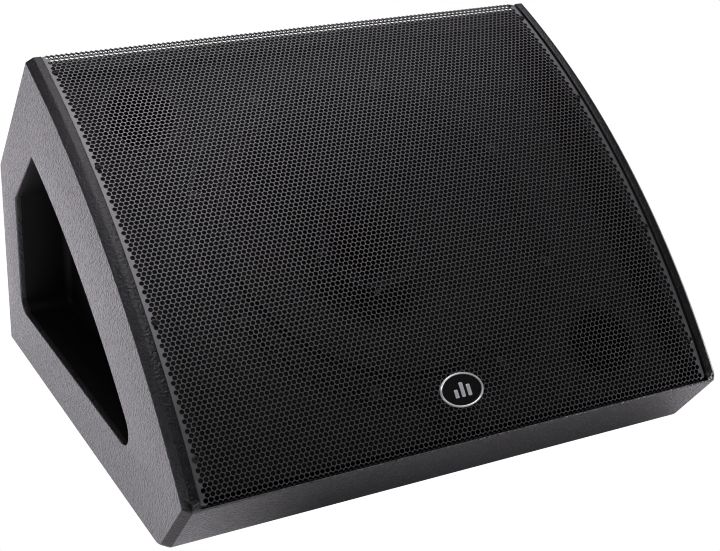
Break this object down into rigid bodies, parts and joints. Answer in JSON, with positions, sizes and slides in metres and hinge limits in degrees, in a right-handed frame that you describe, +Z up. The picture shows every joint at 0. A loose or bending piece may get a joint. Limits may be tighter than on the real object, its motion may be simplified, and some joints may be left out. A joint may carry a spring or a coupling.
{
  "type": "stage monitor wedge",
  "caption": "Wooden floor monitor with curved perforated grille, side recesses and a coaxial fifteen-inch driver, built as separate boards, driver and crossover parts.",
  "frame": {"origin": "on the floor under the middle of the cabinet's bounding box", "axes": "+X to the right cheek, +Y from the nose to the back, +Z up; the audience side faces -Y and up"},
  "size_m": [0.58, 0.512, 0.365],
  "materials": {
    "textured_paint": "black textured orange-peel paint on plywood",
    "baffle_paint": "thin matt black paint on plywood",
    "raw_batten": "black-stained softwood batten",
    "tray_plastic": "deep black grained moulding",
    "grille_steel": "matt black powder coat",
    "black_screw": "black zinc",
    "plain_screw": "bright zinc",
    "badge_black": "gloss black",
    "badge_silver": "satin silver",
    "port_plastic": "fine-grained black",
    "cast_frame": "black-painted casting",
    "gasket_rubber": "matt black",
    "surround_cloth": "doped cloth, slight sheen",
    "cone_paper": "pressed pulp, ribbed",
    "former_film": "amber film",
    "copper_wire": "enamelled copper",
    "spider_cloth": "resin-dipped yellow cloth",
    "motor_steel": "black zinc, turned",
    "ferrite": "sintered grey",
    "horn_plastic": "satin black",
    "plug_metal": "turned",
    "dome_metal": "thin formed metal",
    "surround_film": "amber film",
    "terminal_brass": "tinned tabs on a fibre strip",
    "board_green": "solder mask",
    "capacitor_film": "wrapped film",
    "resistor_cement": "cement",
    "standoff_nylon": "natural nylon",
    "plate_steel": "black satin",
    "socket_plastic": "black moulding",
    "cable_red": "cable jacket",
    "cable_black": "cable jacket",
    "cable_blue": "cable jacket",
    "wadding": "loose fibre mat",
    "foot_rubber": "hard rubber"
  },
  "bodies": {
    "cabinet": {"left_cheek": "textured_paint", "right_cheek": "textured_paint", "bottom_panel": "textured_paint", "back_panel": "textured_paint", "top_slope_panel": "textured_paint", "front_strip": "textured_paint", "baffle": "baffle_paint", "left_grille_cleat": "raw_batten", "right_grille_cleat": "raw_batten", "left_recess_tray": "tray_plastic", "right_recess_tray": "tray_plastic", "tray_screws": "black_screw", "grille": "grille_steel", "grille_screws": "black_screw", "badge_plate": "badge_black", "badge_rim": "badge_silver", "badge_bars": "badge_silver", "upper_port_tube": "port_plastic", "lower_port_tube": "port_plastic", "woofer_basket": "cast_frame", "woofer_gasket": "gasket_rubber", "woofer_surround": "surround_cloth", "spider": "spider_cloth", "top_plate": "motor_steel", "ferrite_magnet": "ferrite", "pole_yoke": "motor_steel", "hf_horn": "horn_plastic", "basket_terminals": "terminal_brass", "tinsel_leads": "copper_wire", "woofer_screws": "black_screw", "woofer_tee_nuts": "plain_screw", "hf_front_plate": "motor_steel", "hf_magnet": "ferrite", "hf_top_plate": "motor_steel", "hf_pole": "motor_steel", "phase_plug": "plug_metal", "hf_surround": "surround_film", "hf_cover": "horn_plastic", "hf_bolts": "plain_screw", "crossover_board": "board_green", "inductors": "copper_wire", "capacitors": "capacitor_film", "resistors": "resistor_cement", "board_standoffs": "standoff_nylon", "board_screws": "plain_screw", "connector_plate": "plate_steel", "speaker_sockets": "socket_plastic", "plate_screws": "plain_screw", "input_loom": "cable_red", "woofer_loom": "cable_black", "hf_loom": "cable_blue", "back_wadding": "wadding", "floor_wadding": "wadding", "rubber_feet": "foot_rubber", "feet_screws": "plain_screw"},
    "cone_assembly": {"woofer_cone": "cone_paper", "coil_former": "former_film", "voice_coil": "copper_wire"},
    "hf_assembly": {"hf_diaphragm": "dome_metal", "hf_voice_coil": "copper_wire"}
  },
  "joints": [
    {"name": "cone_travel", "type": "slide", "parent": "cabinet", "child": "cone_assembly", "axis": [0, -0.5879, 0.8089], "range_m": [-0.006, 0.006], "stiffness_N_per_m": 4000, "deforming": ["woofer_surround", "spider", "tinsel_leads"]},
    {"name": "hf_travel", "type": "slide", "parent": "cabinet", "child": "hf_assembly", "axis": [0, -0.5879, 0.8089], "range_m": [-0.00025, 0.00025], "stiffness_N_per_m": 8000, "deforming": ["hf_surround"]}
  ]
}
